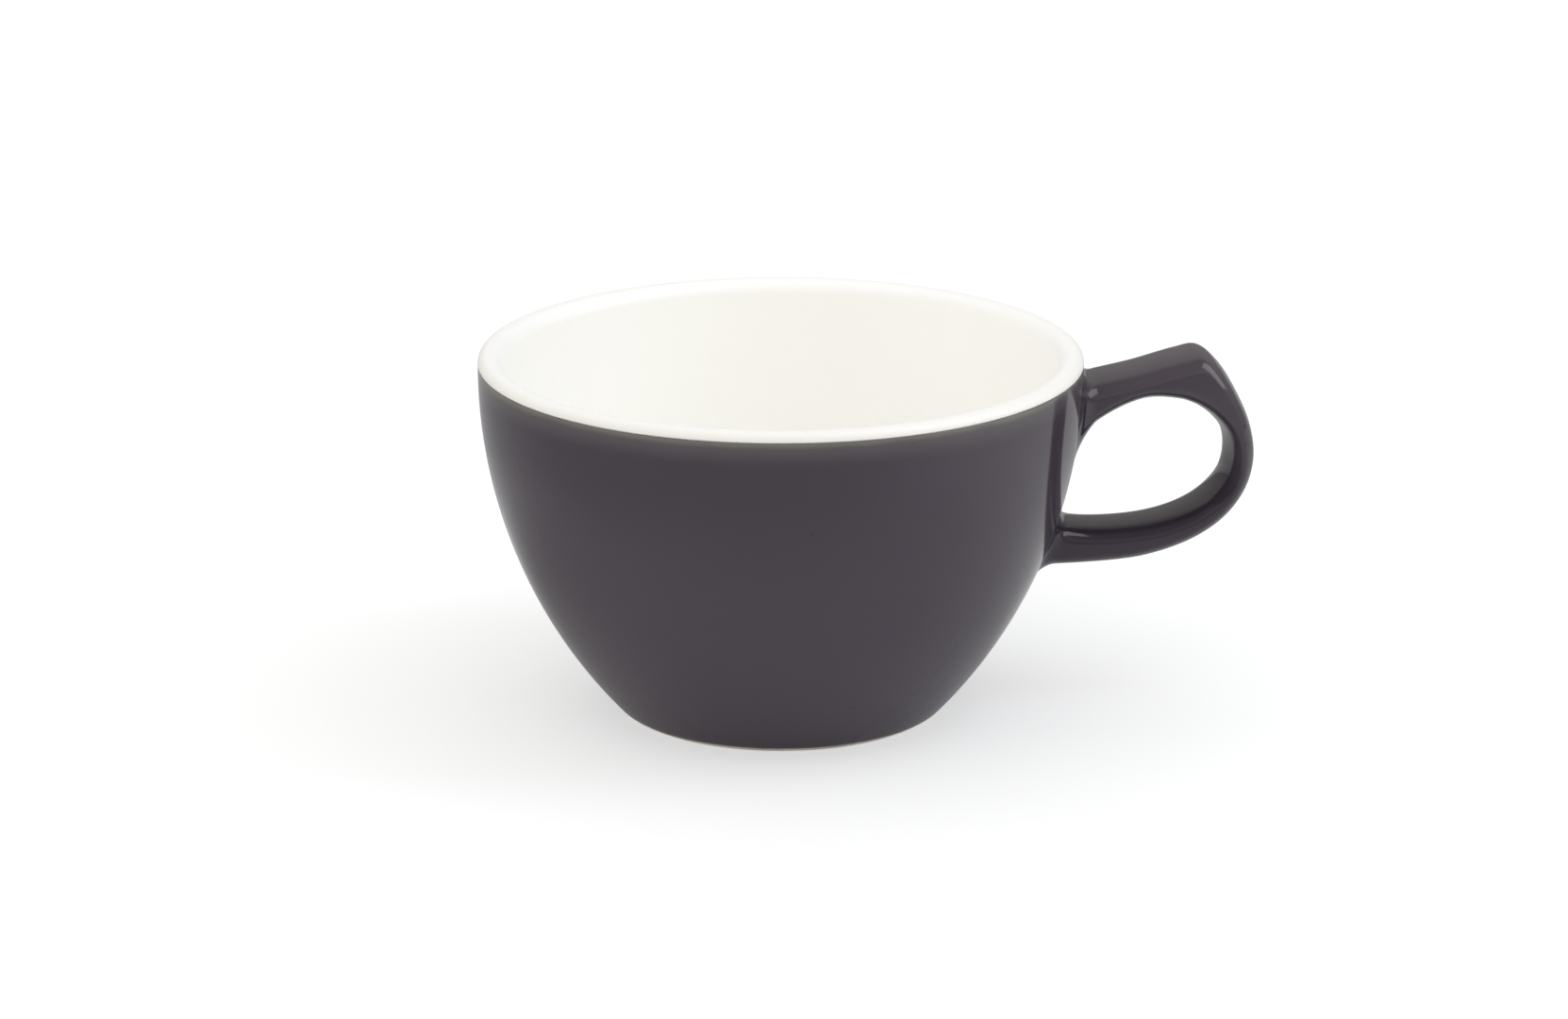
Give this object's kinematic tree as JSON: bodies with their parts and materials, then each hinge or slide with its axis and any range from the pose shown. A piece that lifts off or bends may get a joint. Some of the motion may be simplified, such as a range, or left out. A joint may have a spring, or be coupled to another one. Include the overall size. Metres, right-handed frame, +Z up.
{
  "type": "cappuccino cup",
  "caption": "Round-bellied ceramic cappuccino cup on a low foot ring, with a loop handle and thumb rest, charcoal glaze outside and white glaze inside and over the lip.",
  "frame": {"origin": "centre of the foot ring, on the plane that the cup stands on", "axes": "+Z up along the bowl's axis, +X from the axis through the middle of the handle"},
  "size_m": [0.1228, 0.095, 0.0577],
  "materials": {
    "clay": "bare fired white clay, fine grained and matt",
    "white_glaze": "glossy warm white glaze",
    "charcoal_glaze": "glossy charcoal glaze with a faint purple cast"
  },
  "bodies": {
    "root": {"body": "clay", "handle": "clay", "upper_joint": "clay", "lower_joint": "clay", "inside_glaze": "white_glaze", "outside_glaze": "charcoal_glaze", "handle_glaze": "charcoal_glaze", "base_glaze": "charcoal_glaze"}
  },
  "joints": []
}
